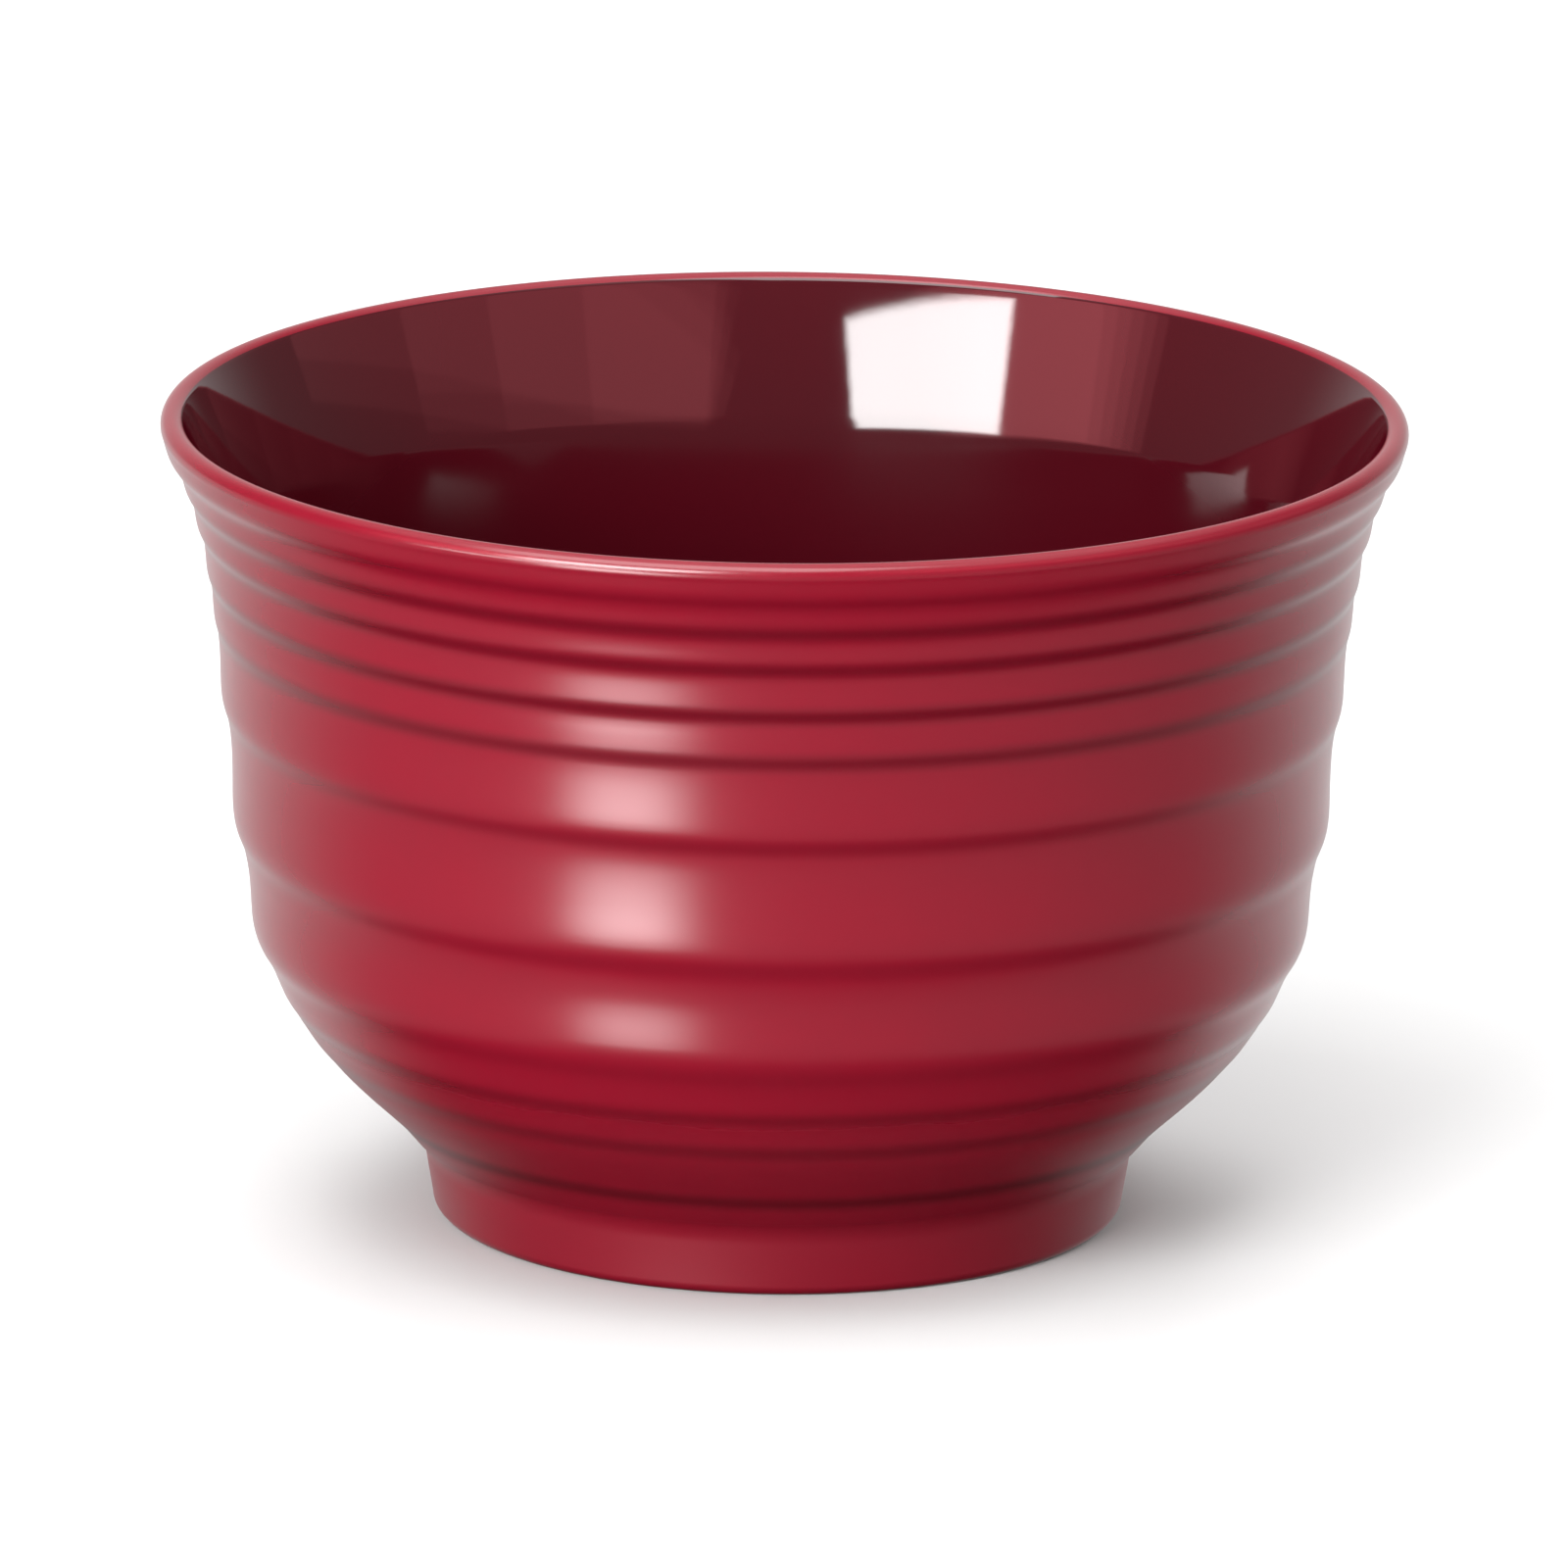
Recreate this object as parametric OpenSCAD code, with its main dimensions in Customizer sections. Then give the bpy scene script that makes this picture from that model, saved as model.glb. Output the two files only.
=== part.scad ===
// Deep rice bowl in lacquer-look moulded resin, with a flared lip, turned ridges and a foot ring.
// The origin is at the centre of the foot's bearing plane, with +Z up through the mouth.

/* [Overall] */
// Outside diameter across the lip
rim_d = 120; // [118:0.5:122]
// Height from the table to the top of the lip
bowl_h = 78.7; // [78:0.1:79.5]
// Thickness of the bead that the lip is rounded to
lip_t = 2.26; // [2:0.02:2.6]
// Slope of the flare where it meets the lip, from the vertical
lip_slope = 24.4; // [20:0.2:28]

/* [Foot] */
// Outside diameter of the foot ring where it meets the table
foot_d = 66.9; // [64:0.1:68]
// Height of the foot ring's outer wall
foot_h = 8.7; // [8:0.1:9]
// Radius of the fillet between the foot and the wall
foot_fillet = 4; // [3:0.5:5]
// Draft of the foot's outer wall, on the radius
foot_draft = 0.65; // [0.2:0.05:0.8]
// Radius that rounds the foot's outer bottom edge
foot_round = 1.2; // [0.8:0.1:1.6]
// Radial thickness of the foot ring at the bearing edge
foot_t = 2.8; // [2.4:0.1:3.4]
// Depth of the recess inside the foot ring
recess_depth = 6.8; // [5:0.1:7.2]
// Radius of the fillet in the corner of the recess
recess_fillet = 1.5; // [1:0.1:2]

/* [Inside] */
// Height at which the flare breaks into the straight inner wall
break_z = 65; // [63:0.5:67]
// Inside radius at that break
break_r = 53; // [52:0.1:53.4]
// Height at which the inner wall turns into the rounded basin
basin_z = 40; // [38:0.5:42]
// Inside radius of the basin at its top
basin_r = 50.2; // [49:0.1:50.4]
// Height of the lowest point inside
floor_z = 10.5; // [10:0.1:11.5]
// Fullness of the basin: 2 is an ellipse, more is squarer
basin_fullness = 2.4; // [2:0.1:2.5]

/* [Coats] */
// Thickness of each sprayed coat
coat_t = 0.2; // [0.15:0.05:0.3]

/* [Hidden] */
$fn = 96;

// Turned outer wall from the lip down: height, radius, and growth of the radius per mm of height
WALL = [
  [77.1, 59.90, 0.29],
  [76.3, 59.68, 0.26],
  [75.6, 59.46, 0.38],
  [74.7, 58.86, 0.95],
  [73.8, 58.26, 0.38],
  [73.0, 58.00, 0.27],
  [72.3, 57.81, 0.26],
  [71.4, 57.39, 0.68],
  [70.4, 56.93, 0.24],
  [69.2, 56.70, 0.15],
  [68.5, 56.58, 0.19],
  [67.6, 56.22, 0.60],
  [66.7, 55.87, 0.19],
  [65.7, 55.72, 0.10],
  [64.6, 55.62, 0.08],
  [63.8, 55.55, 0.10],
  [62.9, 55.32, 0.42],
  [62.0, 55.07, 0.13],
  [61.2, 54.99, 0.06],
  [60.4, 54.94, 0.07],
  [59.2, 54.84, 0.09],
  [58.2, 54.64, 0.31],
  [57.1, 54.41, 0.12],
  [55.5, 54.27, 0.05],
  [53.5, 54.19, 0.03],
  [51.9, 54.14, 0.04],
  [51.0, 54.06, 0.13],
  [49.9, 53.79, 0.36],
  [48.5, 53.41, 0.18],
  [46.5, 53.15, 0.08],
  [44.2, 53.03, 0.03],
  [42.0, 52.99, 0.00],
  [40.2, 52.97, 0.03],
  [38.9, 52.85, 0.15],
  [37.4, 52.40, 0.45],
  [35.8, 51.85, 0.23],
  [34.0, 51.50, 0.16],
  [32.3, 51.30, 0.08],
  [30.9, 51.21, 0.05],
  [29.2, 51.10, 0.08],
  [27.9, 50.88, 0.25],
  [26.3, 50.15, 0.67],
  [25.0, 49.40, 0.48],
  [24.0, 48.96, 0.41],
  [22.6, 48.37, 0.43],
  [21.4, 47.67, 0.74],
  [20.4, 47.01, 0.58],
  [19.8, 46.63, 0.66],
  [18.7, 45.91, 0.66],
  [17.4, 44.89, 0.91],
  [16.2, 43.84, 0.84],
  [15.0, 42.75, 0.97],
  [12.4, 40.05, 1.11],
  [9.8, 37.30, 1.00]
];

rim_r = rim_d / 2;
lip_r = lip_t / 2;
lip_centre = [rim_r - lip_r, bowl_h - lip_r];
foot_r = foot_d / 2;
wall_low_z = WALL[len(WALL) - 1][0];
wall_low_r = WALL[len(WALL) - 1][1];
recess_r = foot_r - foot_round - foot_t;
// The outer coat ends, and the gloss coat begins, on the inner side of the lip
seam_angle = 140;

// Point between two wall points, on the cubic that has both their slopes; u goes from 0 to 1
function between(a, b, u) =
  let (h = b[0] - a[0], blend = u * u * (3 - 2 * u))
  [a[1] * (1 - blend) + b[1] * blend + h * u * (1 - u) * (a[2] * (1 - u) - b[2] * u), a[0] + h * u];

// Points of an arc about a centre, from one angle to another
function arc(centre, radius, from, to, steps) =
  [for (i = [0:steps])
    let (angle = from + (to - from) * i / steps)
    centre + radius * [cos(angle), sin(angle)]];

// Lip bead between two angles from the outward direction; inset is a coat's depth
function lip(inset, from, to) = arc(lip_centre, lip_r - inset, from, to, max(4, round(abs(to - from) / 12)));

// Turned outer wall from just under the lip down to the foot, with a point halfway between wall points
function outer_wall(inset) =
  [for (i = [0:len(WALL) - 2], u = [0.5, 1])
    if (i < len(WALL) - 2 || u < 1) between(WALL[i], WALL[i + 1], u) - [inset, 0]];

// Underside of the wall, the foot's fillet and its outer wall down to the rounded edge
function foot_wall(inset) = concat(
  [[wall_low_r - inset, wall_low_z]],
  arc([foot_r + foot_draft + foot_fillet, foot_h - foot_fillet], foot_fillet + inset, 128, 172, 6),
  arc([foot_r - foot_round, foot_round], foot_round - inset, 0, -72, 5)
);

// Inside of the flare, which curves outwards to meet the lip
flare_top = lip_centre + lip_r * [-cos(lip_slope), sin(lip_slope)];
flare_start = 0.30;
flare_rise = flare_top[1] - break_z;
flare_curve = (flare_top[0] - break_r - flare_start * flare_rise) / pow(flare_rise, 2);
flare_steps = 8;
function flare_wall(inset) =
  [for (i = [flare_steps - 1:-1:0])
    let (s = flare_rise * i / flare_steps)
    [break_r + flare_start * s + flare_curve * s * s + inset, break_z + s]];

// Inner wall from the break down to the basin
inner_steps = 8;
function inner_wall(inset) =
  [for (i = [inner_steps - 1:-1:1])
    let (t = i / inner_steps)
    [basin_r + (break_r - basin_r) * t * t + inset, basin_z + (break_z - basin_z) * t]];

// Rounded basin from the inner wall to the axis
basin_steps = 20;
function basin(inset) =
  [for (i = [0:basin_steps])
    let (angle = 90 * i / basin_steps, power = 2 / basin_fullness)
    [(basin_r + inset) * pow(cos(angle), power),
     basin_z - (basin_z - floor_z + inset) * pow(sin(angle), power)]];

// Recess inside the foot ring, from the bearing edge up and in to the axis
function recess(inset) = concat(
  [[recess_r + inset / 4, 0.4]],
  arc([recess_r - recess_fillet - 0.4, recess_depth - recess_fillet], recess_fillet + inset, 0, 90, 5),
  [[0, recess_depth + inset]]
);

function outside(inset) = concat(lip(inset, seam_angle, -lip_slope), outer_wall(inset), foot_wall(inset));
function inside(inset) = concat(
  lip(inset, seam_angle, 180 - lip_slope), flare_wall(inset), inner_wall(inset), basin(inset));

function reversed(points) = [for (i = [len(points) - 1:-1:0]) points[i]];

// Compression-moulded resin body: everything under the coats, with the bare bearing edge of the foot
module moulded_core() {
  color([0.22, 0.06, 0.08])
    rotate_extrude()
      polygon(concat(
        outside(coat_t),
        [[foot_r - foot_round, 0], [recess_r + 0.4, 0]],
        recess(coat_t),
        reversed(inside(coat_t))
      ));
}

// Satin red coat sprayed on the outside, from over the lip to the edge of the foot
module outer_satin_coat() {
  color([0.65, 0.17, 0.25])
    rotate_extrude()
      polygon(concat(outside(0), reversed(outside(coat_t))));
}

// Gloss red coat inside the bowl, up to the inner side of the lip
module inner_gloss_coat() {
  color([0.43, 0.10, 0.15])
    rotate_extrude()
      polygon(concat(inside(0), reversed(inside(coat_t))));
}

// Satin coat in the recess under the foot
module foot_recess_coat() {
  color([0.65, 0.17, 0.25])
    rotate_extrude()
      polygon(concat(recess(0), reversed(recess(coat_t))));
}

moulded_core();
outer_satin_coat();
inner_gloss_coat();
foot_recess_coat();
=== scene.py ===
import logging
import math
from dataclasses import dataclass
from enum import Enum
from typing import Sequence

import bpy
from mathutils import Matrix, Vector


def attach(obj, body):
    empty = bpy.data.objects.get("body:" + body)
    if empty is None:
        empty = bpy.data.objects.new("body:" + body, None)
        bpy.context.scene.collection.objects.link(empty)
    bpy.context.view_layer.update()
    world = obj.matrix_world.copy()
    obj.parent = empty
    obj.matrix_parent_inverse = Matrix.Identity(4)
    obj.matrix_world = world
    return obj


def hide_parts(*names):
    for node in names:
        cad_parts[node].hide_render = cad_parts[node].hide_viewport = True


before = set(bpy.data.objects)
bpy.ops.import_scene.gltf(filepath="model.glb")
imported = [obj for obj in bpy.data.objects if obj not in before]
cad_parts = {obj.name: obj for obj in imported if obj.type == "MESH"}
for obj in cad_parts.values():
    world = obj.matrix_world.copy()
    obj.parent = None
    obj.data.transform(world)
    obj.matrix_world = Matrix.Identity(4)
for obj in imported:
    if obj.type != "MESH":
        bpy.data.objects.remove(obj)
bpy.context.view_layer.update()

LOG = logging.getLogger("rice_bowl")
MM = 0.001
BODY = "root"
MERGE_MM = 0.002
# Setting of a range node that eases its two ends
SMOOTH = {"interpolation_type": "SMOOTHSTEP"}

# A point of a turned profile: radius and height, in millimetres
Point = tuple[float, float]
# A place on the turned wall: height, radius, and growth of the radius per millimetre of height
WallPoint = tuple[float, float, float]


def linear(hex_colour: str) -> tuple[float, float, float, float]:
    """Turns an sRGB hex colour into linear RGBA.

    Args:
        hex_colour: six hex digits, with or without a leading hash.

    Returns:
        Linear red, green, blue and an alpha of 1.
    """
    digits = hex_colour.lstrip("#")
    channels = [int(digits[i:i + 2], 16) / 255 for i in (0, 2, 4)]
    toe, slope, offset, gamma = 0.04045, 12.92, 0.055, 2.4
    red, green, blue = [
        c / slope if c <= toe else ((c + offset) / (1 + offset)) ** gamma for c in channels
    ]
    return red, green, blue, 1.0


def add_node(
    tree: bpy.types.NodeTree,
    kind: str,
    settings: dict[str, object] | None = None,
    inputs: dict[str | int, object] | None = None,
) -> bpy.types.Node:
    """Adds a node with its settings, socket values and links.

    Args:
        tree: the node tree to add to.
        kind: the node's type name.
        settings: attributes of the node itself.
        inputs: a value or an output socket for each named or numbered input.

    Returns:
        The new node.
    """
    node = tree.nodes.new(kind)
    for name, value in (settings or {}).items():
        setattr(node, name, value)
    for name, value in (inputs or {}).items():
        if isinstance(value, bpy.types.NodeSocket):
            tree.links.new(value, node.inputs[name])
        else:
            node.inputs[name].default_value = value
    return node


@dataclass(frozen=True)
class SprayedCoat:
    """Two-part urethane coat sprayed on moulded resin: coloured all through, with orange peel.

    The eye gets a deep even red. The matting agent in it sets how far a reflection spreads, and the
    orange peel and the unevenness of the spray break the reflection's edge up a little.
    """

    name: str
    colour: str
    deep_colour: str
    roughness: float
    roughness_spread: float
    # Width and depth of the orange peel's waves
    peel_mm: float
    peel_depth_mm: float
    # Width of the patches in which the colour and the matting vary
    mottle_mm: float = 9.0
    specular: float = 0.5
    ior: float = 1.5
    # Turned grooves with painted shade in them: height in millimetres and how much darker the
    # colour is painted there
    shaded_grooves: tuple[tuple[float, float], ...] = ()
    groove_mm: float = 1.5
    # Lower down the coat is rougher and its shine is cut, as painted shade on its reflections: from
    # this height, down to this one, by this much rougher
    rougher_and_shaded: tuple[float, float, float] = (0.0, -1.0, 0.0)
    # Share of the shine that is left lower down, where its reflections are cut as painted shade
    shaded_shine: float = 0.25

    def paint_groove_shade(
        self, tree: bpy.types.NodeTree, height: bpy.types.NodeSocket, colour: bpy.types.NodeSocket
    ) -> bpy.types.NodeSocket:
        """Darkens the colour in the turned grooves: painted shade for the shade that falls in them.

        Args:
            tree: the node tree to add to.
            height: the point's height.
            colour: the coat's colour.

        Returns:
            The colour with the grooves in it.
        """
        # Each groove gets a line of painted shade, darkest at its height
        for groove, darker in self.shaded_grooves:
            above = add_node(tree, "ShaderNodeMath", {"operation": "SUBTRACT"}, {
                0: height, 1: groove * MM})
            off = add_node(tree, "ShaderNodeMath", {"operation": "ABSOLUTE"}, {
                0: above.outputs["Value"]})
            light = add_node(tree, "ShaderNodeMapRange", SMOOTH, {
                "Value": off.outputs["Value"], "From Max": self.groove_mm * MM,
                "To Min": 1 - darker, "To Max": 1.0})
            colour = add_node(tree, "ShaderNodeVectorMath", {"operation": "SCALE"}, {
                "Vector": colour, "Scale": light.outputs["Result"]}).outputs["Vector"]
        return colour

    def material(self) -> bpy.types.Material:
        """Builds the coat's material.

        Returns:
            The material, which reads Object coordinates in metres.
        """
        material = bpy.data.materials.new(self.name)
        material.use_nodes = True
        tree = material.node_tree
        tree.nodes.clear()
        place = add_node(tree, "ShaderNodeTexCoord").outputs["Object"]
        mottle = add_node(tree, "ShaderNodeTexNoise", inputs={
            "Vector": place, "Scale": 1 / (self.mottle_mm * MM), "Detail": 3.0, "Roughness": 0.55})
        colour = add_node(tree, "ShaderNodeMix", {"data_type": "RGBA"}, {
            "Factor": mottle.outputs["Fac"],
            "A": linear(self.colour), "B": linear(self.deep_colour)})
        height = add_node(tree, "ShaderNodeSeparateXYZ", inputs={"Vector": place}).outputs["Z"]
        even = add_node(tree, "ShaderNodeMapRange", inputs={
            "Value": mottle.outputs["Fac"],
            "To Min": self.roughness - self.roughness_spread,
            "To Max": self.roughness + self.roughness_spread})
        # Lower down: a rougher coat, and less shine as painted shade on the reflections
        shaded_top, shaded_end, added_roughness = self.rougher_and_shaded
        rougher_and_shaded = add_node(tree, "ShaderNodeMapRange", SMOOTH, {
            "Value": height, "From Min": shaded_end * MM, "From Max": shaded_top * MM,
            "To Min": 1.0, "To Max": 0.0})
        rough = add_node(tree, "ShaderNodeMath", {"operation": "MULTIPLY_ADD"}, {
            0: rougher_and_shaded.outputs["Result"], 1: added_roughness, 2: even.outputs["Result"]})
        shine = add_node(tree, "ShaderNodeMapRange", inputs={
            "Value": rougher_and_shaded.outputs["Result"], "To Min": self.specular,
            "To Max": self.specular * self.shaded_shine})
        peel = add_node(tree, "ShaderNodeTexNoise", inputs={
            "Vector": place, "Scale": 1 / (self.peel_mm * MM), "Detail": 2.0, "Roughness": 0.5})
        bump = add_node(tree, "ShaderNodeBump", inputs={
            "Strength": 1.0, "Distance": self.peel_depth_mm * MM, "Height": peel.outputs["Fac"]})
        shader = add_node(tree, "ShaderNodeBsdfPrincipled", inputs={
            "Base Color": self.paint_groove_shade(tree, height, colour.outputs["Result"]),
            "Roughness": rough.outputs["Value"],
            "IOR": self.ior, "Specular IOR Level": shine.outputs["Result"],
            "Normal": bump.outputs["Normal"]})
        add_node(tree, "ShaderNodeOutputMaterial", inputs={"Surface": shader.outputs["BSDF"]})
        return material


# Satin urethane, sprayed: bright red body, wide soft highlights, darker lines painted into the
# grooves as shade
SATIN_COAT = SprayedCoat(
    name="satin_urethane",
    colour="#6B0518",
    deep_colour="#670518",
    roughness=0.22,
    roughness_spread=0.02,
    peel_mm=0.6,
    peel_depth_mm=0.002,
    # Heights of the turned grooves, and how much painted shade darkens the red at each
    shaded_grooves=(
        (74.7, 0.1),
        (71.4, 0.35),
        (67.6, 0.36),
        (62.9, 0.42),
        (58.2, 0.4),
        (49.6, 0.2),
        (37.3, 0.1),
        (26.0, 0.05),
        (21.4, 0.25),
        (17.4, 0.25),
        (10.5, 0.45),
    ),
    # Painted shade on the reflections of the lower wall, with a rougher coat there
    rougher_and_shaded=(25.0, 12.0, 0.2),
    shaded_shine=0.4,
)
# Gloss urethane, sprayed: the outer red painted darker as shade for the bowl's inside, mirroring
# the window sharply, with long faint orange peel
GLOSS_COAT = SprayedCoat(
    name="gloss_urethane",
    # The outer red, painted darker as the shade inside the bowl
    colour="#39050D",
    deep_colour="#37050D",
    roughness=0.05,
    roughness_spread=0.01,
    peel_mm=2.5,
    peel_depth_mm=0.002,
    # Painted shade on the reflections lower inside, with a rougher coat there
    rougher_and_shaded=(67.0, 56.0, 0.12),
    shaded_shine=0.28,
)
# Satin urethane, sprayed thinly into the recess: the same red, a little flatter
RECESS_COAT = SprayedCoat(
    name="recess_satin_urethane",
    colour="#6B0518",
    deep_colour="#670518",
    roughness=0.3,
    roughness_spread=0.02,
    peel_mm=0.6,
    peel_depth_mm=0.004,
)
# Thermoset resin, bare from the mould: brown-red and matt, seen only on the bearing edge
CORE_RESIN = SprayedCoat(
    name="moulded_resin",
    colour="#3A1216",
    deep_colour="#301013",
    roughness=0.5,
    roughness_spread=0.06,
    peel_mm=0.4,
    peel_depth_mm=0.004,
)


@dataclass(frozen=True)
class BowlProfile:
    """Half section of the bowl, in millimetres, as a turner's template gives it."""

    rim_r: float = 60.0
    height: float = 78.7
    lip_t: float = 2.26
    lip_slope: float = 24.4
    seam_angle: float = 140.0
    foot_r: float = 33.45
    foot_h: float = 8.7
    foot_fillet: float = 4.0
    foot_draft: float = 0.65
    foot_round: float = 1.2
    foot_t: float = 2.8
    # Small bevel on the bearing edge's inner side
    edge_bevel: float = 0.4
    recess_depth: float = 6.8
    recess_fillet: float = 1.5
    break_z: float = 65.0
    break_r: float = 53.0
    basin_z: float = 40.0
    basin_r: float = 50.2
    floor_z: float = 10.5
    basin_fullness: float = 2.4
    flare_start: float = 0.30
    coat_t: float = 0.2
    # First and last angles of the fillet above the foot, and last angle of the foot's round
    fillet_angles: tuple[float, float] = (128.0, 172.0)
    round_angle: float = -72.0
    # Fineness: degrees per chord of the lip, and chords in each other curve
    lip_step: float = 6.0
    lip_steps_min: int = 6
    wall_steps: int = 3
    fillet_steps: int = 12
    round_steps: int = 8
    inner_steps: int = 24
    basin_steps: int = 48
    # Turned outer wall from the lip down
    wall: tuple[WallPoint, ...] = (
        (77.1, 59.90, 0.29),
        (76.3, 59.68, 0.26),
        (75.6, 59.46, 0.38),
        (74.7, 58.86, 0.95),
        (73.8, 58.26, 0.38),
        (73.0, 58.00, 0.27),
        (72.3, 57.81, 0.26),
        (71.4, 57.39, 0.68),
        (70.4, 56.93, 0.24),
        (69.2, 56.70, 0.15),
        (68.5, 56.58, 0.19),
        (67.6, 56.22, 0.60),
        (66.7, 55.87, 0.19),
        (65.7, 55.72, 0.10),
        (64.6, 55.62, 0.08),
        (63.8, 55.55, 0.10),
        (62.9, 55.32, 0.42),
        (62.0, 55.07, 0.13),
        (61.2, 54.99, 0.06),
        (60.4, 54.94, 0.07),
        (59.2, 54.84, 0.09),
        (58.2, 54.64, 0.31),
        (57.1, 54.41, 0.12),
        (55.5, 54.27, 0.05),
        (53.5, 54.19, 0.03),
        (51.9, 54.14, 0.04),
        (51.0, 54.06, 0.13),
        (49.9, 53.79, 0.36),
        (48.5, 53.41, 0.18),
        (46.5, 53.15, 0.08),
        (44.2, 53.03, 0.03),
        (42.0, 52.99, 0.00),
        (40.2, 52.97, 0.03),
        (38.9, 52.85, 0.15),
        (37.4, 52.40, 0.45),
        (35.8, 51.85, 0.23),
        (34.0, 51.50, 0.16),
        (32.3, 51.30, 0.08),
        (30.9, 51.21, 0.05),
        (29.2, 51.10, 0.08),
        (27.9, 50.88, 0.25),
        (26.3, 50.15, 0.67),
        (25.0, 49.40, 0.48),
        (24.0, 48.96, 0.41),
        (22.6, 48.37, 0.43),
        (21.4, 47.67, 0.74),
        (20.4, 47.01, 0.58),
        (19.8, 46.63, 0.66),
        (18.7, 45.91, 0.66),
        (17.4, 44.89, 0.91),
        (16.2, 43.84, 0.84),
        (15.0, 42.75, 0.97),
        (12.4, 40.05, 1.11),
        (9.8, 37.30, 1.00),
    )

    @property
    def lip_r(self) -> float:
        """Radius of the bead that the lip is rounded to."""
        return self.lip_t / 2

    @property
    def lip_centre(self) -> Point:
        """Centre of the lip's bead."""
        return self.rim_r - self.lip_r, self.height - self.lip_r

    @staticmethod
    def arc(centre: Point, radius: float, start: float, end: float, steps: int) -> list[Point]:
        """Points of an arc.

        Args:
            centre: the arc's centre.
            radius: the arc's radius.
            start: first angle in degrees, from the outward direction.
            end: last angle in degrees.
            steps: number of chords.

        Returns:
            The points from start to end, both included.
        """
        x, z = centre
        angles = [math.radians(start + (end - start) * i / steps) for i in range(steps + 1)]
        return [(x + radius * math.cos(a), z + radius * math.sin(a)) for a in angles]

    @staticmethod
    def between(high: WallPoint, low: WallPoint, u: float) -> Point:
        """Point between two wall points, on the cubic that has both their slopes.

        Args:
            high: the upper point.
            low: the lower point.
            u: how far down it is, from 0 to 1.

        Returns:
            The point.
        """
        (high_z, high_r, high_slope), (low_z, low_r, low_slope) = high, low
        drop, blend = low_z - high_z, u * u * (3 - 2 * u)
        bulge = drop * u * (1 - u) * (high_slope * (1 - u) - low_slope * u)
        return high_r * (1 - blend) + low_r * blend + bulge, high_z + drop * u

    def lip(self, inset: float, end: float) -> list[Point]:
        """The lip's bead from the seam to the end angle, a coat's inset deep."""
        steps = max(self.lip_steps_min, round(abs(end - self.seam_angle) / self.lip_step))
        return self.arc(self.lip_centre, self.lip_r - inset, self.seam_angle, end, steps)

    def outside(self, inset: float) -> list[Point]:
        """Outer surface from the seam on the lip down to the foot's rounded edge."""
        turned = [
            self.between(high, low, (i + 1) / self.wall_steps)
            for high, low in zip(self.wall, self.wall[1:])
            for i in range(self.wall_steps)
        ]
        fillet = (
            self.foot_r + self.foot_draft + self.foot_fillet, self.foot_h - self.foot_fillet)
        edge = (self.foot_r - self.foot_round, self.foot_round)
        return [
            *self.lip(inset, -self.lip_slope),
            *[(radius - inset, z) for radius, z in turned],
            *self.arc(fillet, self.foot_fillet + inset, *self.fillet_angles, self.fillet_steps),
            *self.arc(edge, self.foot_round - inset, 0, self.round_angle, self.round_steps),
        ]

    def inside(self, inset: float) -> list[Point]:
        """Inner surface from the seam on the lip down to the axis."""
        slope = math.radians(self.lip_slope)
        top_r = self.lip_centre[0] - self.lip_r * math.cos(slope)
        top_z = self.lip_centre[1] + self.lip_r * math.sin(slope)
        rise = top_z - self.break_z
        curve = (top_r - self.break_r - self.flare_start * rise) / rise ** 2
        shares = [1 - i / self.inner_steps for i in range(1, self.inner_steps + 1)]
        flare = [
            (self.break_r + self.flare_start * s + curve * s * s + inset, self.break_z + s)
            for s in (rise * t for t in shares)
        ]
        taper = [
            (self.basin_r + (self.break_r - self.basin_r) * t * t + inset,
             self.basin_z + (self.break_z - self.basin_z) * t)
            for t in shares[:-1]
        ]
        power = 2 / self.basin_fullness
        width, depth = self.basin_r + inset, self.basin_z - self.floor_z + inset
        basin = [
            (width * math.cos(a) ** power, self.basin_z - depth * math.sin(a) ** power)
            for a in (math.pi / 2 * i / self.basin_steps for i in range(self.basin_steps))
        ]
        return [
            *self.lip(inset, 180 - self.lip_slope),
            *flare,
            *taper,
            *basin,
            (0.0, self.floor_z - inset),
        ]

    def recess(self, inset: float) -> list[Point]:
        """Surface of the recess under the foot, from the bearing edge to the axis."""
        radius = self.foot_r - self.foot_round - self.foot_t
        corner = (
            radius - self.recess_fillet - self.edge_bevel, self.recess_depth - self.recess_fillet)
        return [
            (radius + inset / 4, self.edge_bevel),
            *self.arc(corner, self.recess_fillet + inset, 0, 90, self.fillet_steps),
            (0.0, self.recess_depth + inset),
        ]


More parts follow.
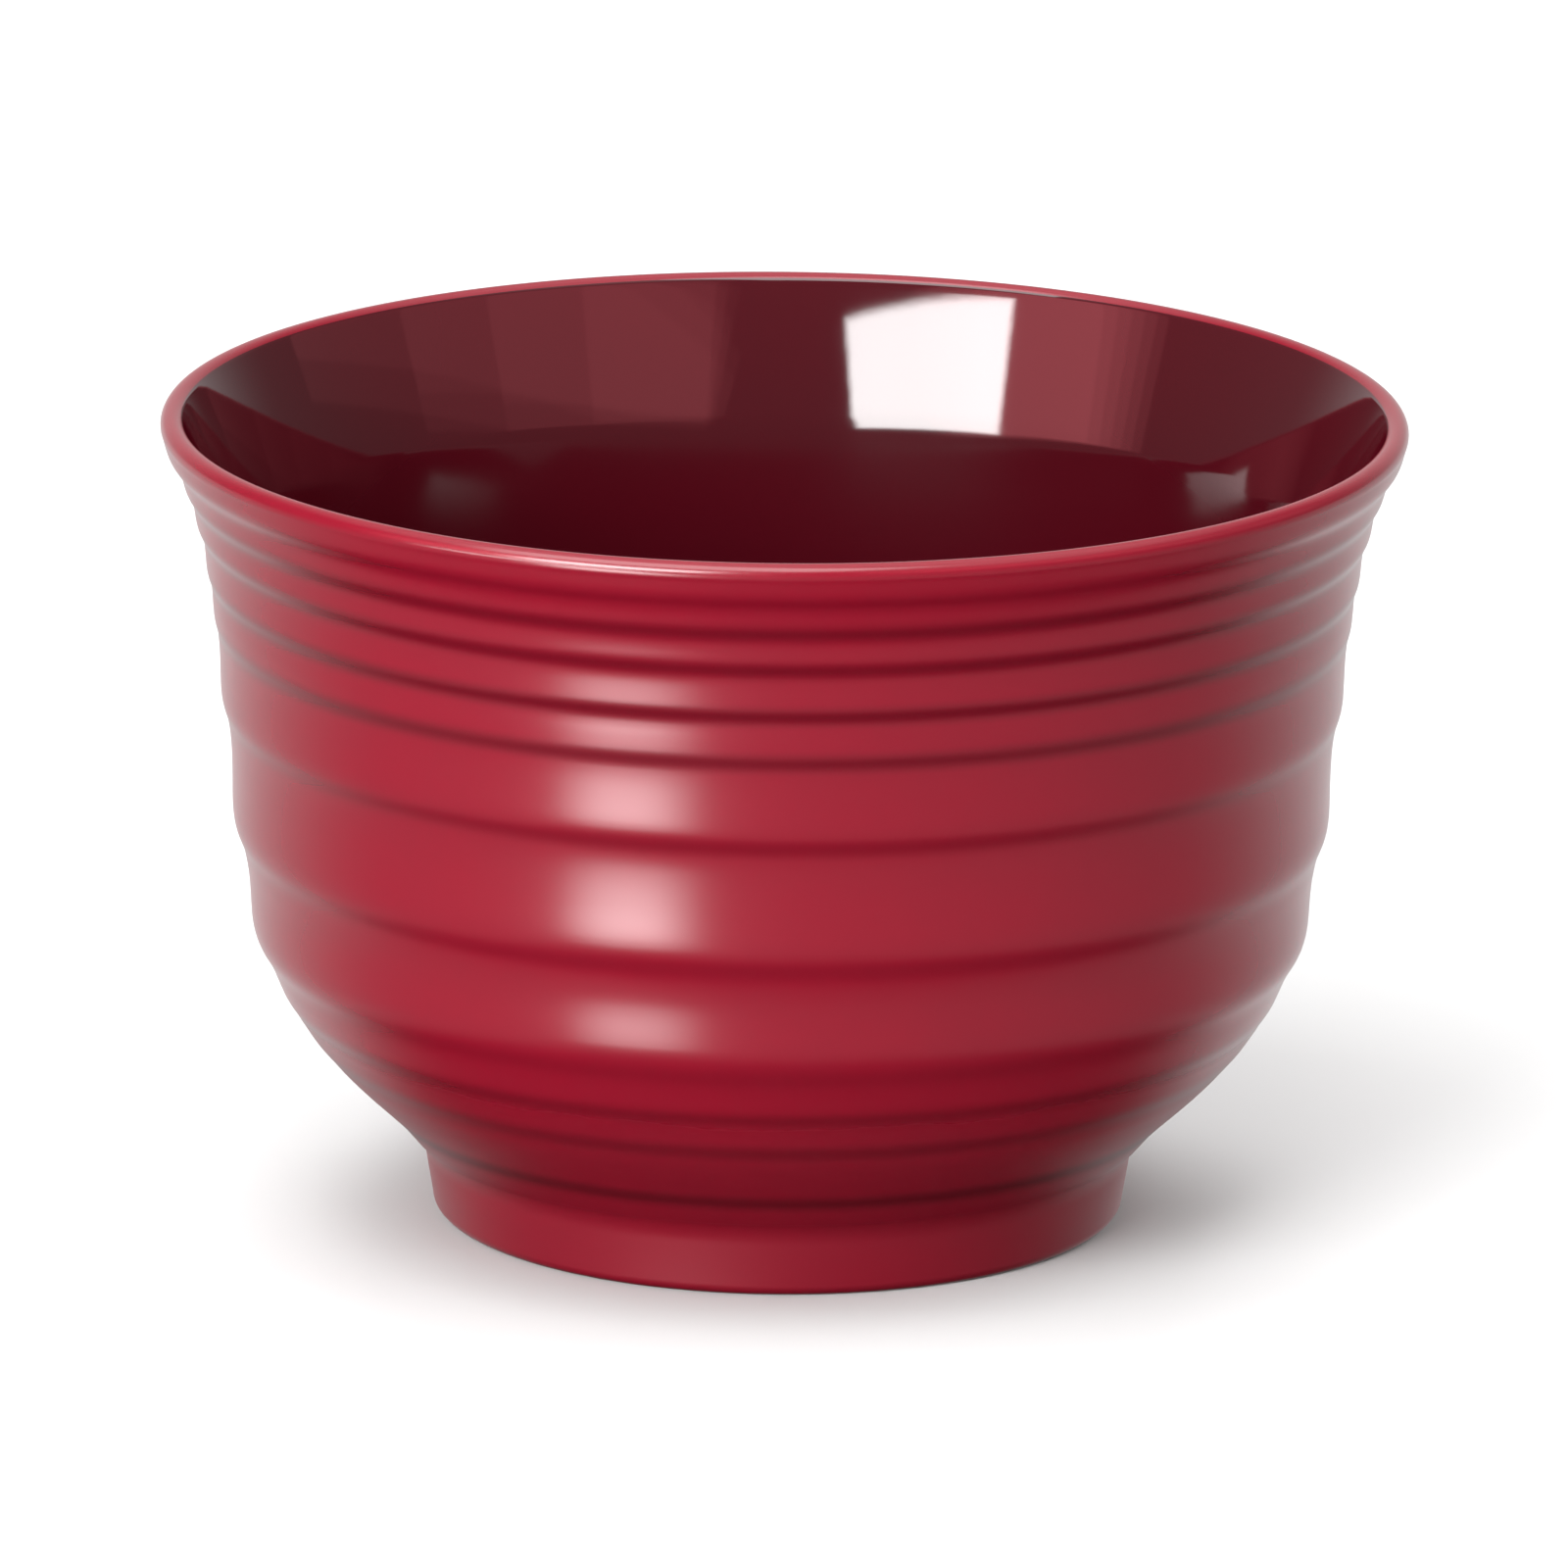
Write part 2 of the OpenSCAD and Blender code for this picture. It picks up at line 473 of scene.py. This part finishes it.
@dataclass(frozen=True)
class TurnedPiece:
    """One layer of the bowl, turned from its half section about the bowl's axis."""

    name: str
    node: str
    slot: str
    section: Sequence[Point]
    # Whether the section is a closed loop, clear of the axis
    closed: bool
    finish: SprayedCoat
    segments: int = 232
    smooth_angle: float = 40.0

    def build(self) -> bpy.types.Object:
        """Turns the section, smooths it and hands it to the frame.

        Returns:
            The finished piece.
        """
        bpy.ops.object.select_all(action="DESELECT")
        start = self.section[0]
        bpy.ops.mesh.primitive_plane_add(size=MM, location=(0, 0, 0))
        piece = bpy.context.object
        piece.name = self.name
        piece.data.name = self.name
        bpy.ops.object.mode_set(mode="EDIT")
        bpy.ops.mesh.select_all(action="SELECT")
        bpy.ops.mesh.merge(type="CENTER")
        bpy.ops.transform.translate(value=(start[0] * MM, 0, start[1] * MM))
        for here, there in zip(self.section, self.section[1:]):
            step = ((there[0] - here[0]) * MM, 0, (there[1] - here[1]) * MM)
            bpy.ops.mesh.extrude_region_move(TRANSFORM_OT_translate={"value": step})
        bpy.ops.mesh.select_all(action="SELECT")
        if self.closed:
            bpy.ops.mesh.edge_face_add()
            bpy.ops.mesh.delete(type="ONLY_FACE")
        bpy.ops.object.mode_set(mode="OBJECT")
        lathe = piece.modifiers.new("lathe", "SCREW")
        lathe.axis = "Z"
        lathe.angle = 2 * math.pi
        lathe.steps = lathe.render_steps = self.segments
        lathe.use_merge_vertices = True
        lathe.merge_threshold = MERGE_MM * MM
        bpy.ops.object.modifier_apply(modifier=lathe.name)
        bpy.ops.object.mode_set(mode="EDIT")
        bpy.ops.mesh.select_all(action="SELECT")
        bpy.ops.mesh.remove_doubles(threshold=MERGE_MM * MM)
        bpy.ops.mesh.normals_make_consistent(inside=False)
        bpy.ops.object.mode_set(mode="OBJECT")
        bpy.ops.object.shade_smooth_by_angle(angle=math.radians(self.smooth_angle))
        piece.data.materials.append(self.finish.material())
        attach(piece, BODY)
        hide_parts(self.node)
        LOG.info("%s: %d faces, for %s", piece.name, len(piece.data.polygons), self.node)
        return piece


class Surface(Enum):
    """Part of the bowl's surface that one coat covers."""

    OUTSIDE = "outside"
    INSIDE = "inside"
    RECESS = "recess"


@dataclass(frozen=True)
class Bowl:
    """The bowl: its moulded core and the coats sprayed on it."""

    profile: BowlProfile

    def shell(self, surface: Surface) -> list[Point]:
        """Closed section of one coat between its surface and the core.

        Args:
            surface: the part of the bowl that it covers.

        Returns:
            The section, out along the surface and back along the core.
        """
        draw = {
            Surface.OUTSIDE: self.profile.outside,
            Surface.INSIDE: self.profile.inside,
            Surface.RECESS: self.profile.recess,
        }[surface]
        return [*draw(0.0), *reversed(draw(self.profile.coat_t))]

    def core(self) -> list[Point]:
        """Section of the moulded core, from the recess's centre round the wall to the basin's."""
        p, under = self.profile, self.profile.coat_t
        edge = p.foot_r - p.foot_round
        return [
            *reversed(p.recess(under)),
            (edge - p.foot_t + p.edge_bevel, 0.0),
            (edge, 0.0),
            *reversed(p.outside(under)),
            *p.inside(under)[1:],
        ]

    def build(self) -> list[bpy.types.Object]:
        """Builds the core and its three coats.

        Returns:
            The pieces.
        """
        outside, inside, recess = [self.shell(surface) for surface in Surface]
        layers = [
            TurnedPiece("moulded_core_body", "moulded_core", "core_resin",
                        self.core(), False, CORE_RESIN),
            TurnedPiece("satin_coat_shell", "outer_satin_coat", "satin_coat",
                        outside, True, SATIN_COAT),
            TurnedPiece("gloss_coat_shell", "inner_gloss_coat", "gloss_coat",
                        inside, False, GLOSS_COAT),
            TurnedPiece("recess_coat_shell", "foot_recess_coat", "recess_coat",
                        recess, False, RECESS_COAT),
        ]
        return [layer.build() for layer in layers]


def direction(azimuth: float, elevation: float) -> Vector:
    """Unit vector from the bowl towards a place round it.

    Args:
        azimuth: degrees from the front, positive to the right.
        elevation: degrees above the table.

    Returns:
        The direction.
    """
    a, e = math.radians(azimuth), math.radians(elevation)
    return Vector((math.sin(a) * math.cos(e), -math.cos(a) * math.cos(e), math.sin(e)))


class Reach(Enum):
    """What a studio light acts on."""

    ALL = "everything"
    SHINE = "only the reflections in the coats"
    FILL = "only the matt shading, with no reflection of it"


@dataclass(frozen=True)
class Softbox:
    """A rectangular studio light that faces the bowl, with a soft edge where it has a feather."""

    name: str
    azimuth: float
    elevation: float
    width_deg: float
    height_deg: float
    radiance: float
    reach: Reach = Reach.ALL
    colour: str = "#FFFFFF"
    distance: float = 1.0
    # Space between the panels; at the same distance, a reflection would show only one of them
    gap: float = 0.002
    # How much the panels differ in width and in height, which fades the light's edges
    feather: tuple[float, float] = (0.0, 0.0)
    layers: int = 1
    aim: tuple[float, float, float] = (0.0, 0.0, 0.04)

    def panel(self, number: int) -> None:
        """Makes one panel of the light, out of the camera's sight.

        Args:
            number: the panel's number; each is larger than the one before it.
        """
        step = 2 * (number + 0.5) / self.layers - 1
        wide, tall = [
            2 * self.distance * math.tan(math.radians(spread / 2)) * (1 + feather * step)
            for spread, feather in zip((self.width_deg, self.height_deg), self.feather)
        ]
        lamp = bpy.data.lights.new(f"{self.name}_{number}", "AREA")
        lamp.shape = "RECTANGLE"
        lamp.size, lamp.size_y = wide, tall
        lamp.energy = self.radiance / self.layers * math.pi * lamp.size * lamp.size_y
        lamp.color = linear(self.colour)[:3]
        light = bpy.data.objects.new(lamp.name, lamp)
        bpy.context.scene.collection.objects.link(light)
        towards = direction(self.azimuth, self.elevation)
        light.location = Vector(self.aim) + towards * (self.distance + self.gap * number)
        light.rotation_euler = towards.to_track_quat("Z", "Y").to_euler()
        light.visible_camera = False
        light.visible_diffuse = self.reach is not Reach.SHINE
        light.visible_glossy = self.reach is not Reach.FILL

    def build(self) -> None:
        """Makes the light's panels."""
        for number in range(self.layers):
            self.panel(number)


@dataclass(frozen=True)
class Studio:
    """Pale table, soft lights and the dim room round them."""

    floor_half: float = 20.0
    floor_colour: str = "#B9B9B9"
    # Levels of the room's walls, ceiling and table, and where each one fades in: depth towards
    # the back or height, as a share of the way to straight back or straight up
    front_light: float = 0.27
    back_light: float = 0.9
    wall_fade: tuple[float, float] = (0.5, 0.95)
    top_light: float = 1.5
    top_fade: tuple[float, float] = (0.6, 0.9)
    table_light: float = 0.45
    back_table_light: float = 1.2
    table_fade: tuple[float, float] = (0.0, 0.8)
    under_fade: tuple[float, float] = (-0.75, -0.5)
    horizon_fade: tuple[float, float] = (-0.06, 0.04)
    # Reddish cards: total level, near edge and far edges by azimuth
    haze_colour: str = "#FF858D"
    red_card_light: float = 2.1
    red_card_start: int = 18
    red_card_ends: tuple[int, ...] = (42, 62, 82, 112)
    # The window's glow in the table: total level, top edge and bottom edges below the horizon
    low_window_light: float = 18.5
    low_window_top: int = 4
    low_window_ends: tuple[int, ...] = (14, 19, 27)

    def floor(self) -> None:
        """Makes the pale table top, which shines on the bowl but isn't mirrored in its coats."""
        bpy.ops.object.select_all(action="DESELECT")
        bpy.ops.mesh.primitive_plane_add(size=2 * self.floor_half)
        top = bpy.context.object
        top.name = "table_top"
        material = bpy.data.materials.new("pale_table_paint")
        material.use_nodes = True
        tree = material.node_tree
        tree.nodes.clear()
        shader = add_node(tree, "ShaderNodeBsdfDiffuse", inputs={
            "Color": linear(self.floor_colour)})
        add_node(tree, "ShaderNodeOutputMaterial", inputs={"Surface": shader.outputs["BSDF"]})
        top.data.materials.append(material)
        top.visible_glossy = False
        top.visible_shadow = False

    @staticmethod
    def ramp(
        tree: bpy.types.NodeTree,
        value: bpy.types.NodeSocket,
        span: tuple[float, float],
        levels: tuple[float, float],
    ) -> bpy.types.NodeSocket:
        """Adds a smooth ramp.

        Args:
            tree: the node tree to add to.
            value: the number that the ramp follows.
            span: the values at the ramp's two ends.
            levels: the results at those ends.

        Returns:
            The ramp's output.
        """
        return add_node(tree, "ShaderNodeMapRange", SMOOTH, {
            "Value": value, "From Min": span[0], "From Max": span[1],
            "To Min": levels[0], "To Max": levels[1]}).outputs["Result"]

    def room(self) -> None:
        """Makes the room's light: dim at the front, pale at the back and on the ceiling.

        Below the horizon it is what the coats mirror of the table, dark right under the bowl.
        """
        world = bpy.data.worlds.new("studio_room")
        world.use_nodes = True
        tree = world.node_tree
        tree.nodes.clear()
        heading = add_node(tree, "ShaderNodeTexCoord").outputs["Generated"]
        split = add_node(tree, "ShaderNodeSeparateXYZ", inputs={"Vector": heading})
        depth, height = split.outputs["Y"], split.outputs["Z"]
        walls = self.ramp(tree, depth, self.wall_fade, (self.front_light, self.back_light))
        ceiling = self.ramp(tree, height, self.top_fade, (0.0, self.top_light))
        shine = self.ramp(tree, depth, self.table_fade, (self.table_light, self.back_table_light))
        under = self.ramp(tree, height, self.under_fade, (0.0, 1.0))
        table = add_node(tree, "ShaderNodeMath", {"operation": "MULTIPLY"}, {0: shine, 1: under})
        room = add_node(tree, "ShaderNodeMath", {"operation": "ADD"}, {0: walls, 1: ceiling})
        above = self.ramp(tree, height, self.horizon_fade, (0.0, 1.0))
        level = add_node(tree, "ShaderNodeMix", {"data_type": "FLOAT"}, {
            "Factor": above, "A": table.outputs["Value"], "B": room.outputs["Value"]})
        glow = add_node(tree, "ShaderNodeBackground", inputs={
            "Strength": level.outputs["Result"]})
        add_node(tree, "ShaderNodeOutputWorld", inputs={"Surface": glow.outputs["Background"]})
        bpy.context.scene.world = world

    def low_window(self) -> list[Softbox]:
        """The window's glow in the table, which only the satin wall mirrors; it fades downwards.

        Returns:
            Panels that share their top edge and reach further down one by one.
        """
        share = self.low_window_light / len(self.low_window_ends)
        return [
            Softbox(
                f"low_window_to_{end}", azimuth=-31, elevation=-(self.low_window_top + end) / 2,
                width_deg=20, height_deg=end - self.low_window_top, radiance=share,
                reach=Reach.SHINE, feather=(0.5, 0.0), layers=2)
            for end in self.low_window_ends
        ]

    def red_cards(self) -> list[Softbox]:
        """Reddish cards that only the coats mirror; their glow fades to the right.

        Returns:
            Cards that share their near edge and reach further round one by one.
        """
        share = self.red_card_light / len(self.red_card_ends)
        return [
            Softbox(
                f"red_card_to_{end}", azimuth=(self.red_card_start + end) / 2, elevation=31,
                width_deg=end - self.red_card_start, height_deg=22, radiance=share,
                reach=Reach.SHINE, colour=self.haze_colour, feather=(0.0, 0.4), layers=2)
            for end in self.red_card_ends
        ]

    def build(self) -> None:
        """Sets the floor, the room and the lights."""
        self.floor()
        self.room()
        lights = [
            Softbox(
                "window", azimuth=-31.5, elevation=25, width_deg=31, height_deg=20, radiance=23,
                feather=(0.05, 0.06), layers=3),
            Softbox(
                "window_glow", azimuth=-58, elevation=27, width_deg=36, height_deg=26, radiance=4,
                reach=Reach.SHINE, colour=self.haze_colour, feather=(0.5, 0.1), layers=6),
            Softbox(
                "side_window", azimuth=-45, elevation=5, width_deg=40, height_deg=9, radiance=11),
            Softbox(
                "front_fill", azimuth=15, elevation=8, width_deg=60, height_deg=11, radiance=3,
                reach=Reach.FILL),
            Softbox(
                "overhead", azimuth=-30, elevation=66, width_deg=50, height_deg=36, radiance=5),
            # Aimed behind the bowl, where it lifts the table
            Softbox(
                "back", azimuth=180, elevation=60, width_deg=45, height_deg=45, radiance=5,
                reach=Reach.FILL, aim=(0, 0.25, 0)),
            Softbox(
                "right_fill", azimuth=85, elevation=40, width_deg=60, height_deg=40, radiance=2.3,
                reach=Reach.FILL),
            *self.low_window(),
            *self.red_cards(),
        ]
        for light in lights:
            light.build()


@dataclass(frozen=True)
class ProductCamera:
    """Long lens that looks a little down on the bowl, from the front."""

    elevation: float = 14.84
    distance_mm: float = 1900.0
    view_mm: float = 151.46
    aim_mm: tuple[float, float, float] = (0.265, 0.0, 41.85)
    roll: float = 0.55
    sensor_mm: float = 36.0
    # In metres, beyond the far edge of the table
    clip_end: float = 100.0

    def build(self) -> None:
        """Makes the camera and sets it as the scene's."""
        lens = bpy.data.cameras.new("long_lens")
        lens.sensor_width = self.sensor_mm
        lens.lens = self.sensor_mm * self.distance_mm / self.view_mm
        lens.clip_end = self.clip_end
        camera = bpy.data.objects.new("product_camera", lens)
        bpy.context.scene.collection.objects.link(camera)
        back = direction(0, self.elevation)
        turn = back.to_track_quat("Z", "Y").to_matrix().to_4x4()
        aim = Matrix.Translation((Vector(self.aim_mm) + back * self.distance_mm) * MM)
        camera.matrix_world = aim @ turn @ Matrix.Rotation(math.radians(self.roll), 4, "Z")
        bpy.context.scene.camera = camera


def main() -> None:
    """Builds the bowl, the studio and the camera."""
    logging.basicConfig(level=logging.INFO)
    bpy.context.scene.view_settings.view_transform = "Standard"
    pieces = Bowl(BowlProfile()).build()
    LOG.info("%d pieces", len(pieces))
    Studio().build()
    ProductCamera().build()


if __name__ == "__main__":
    main()
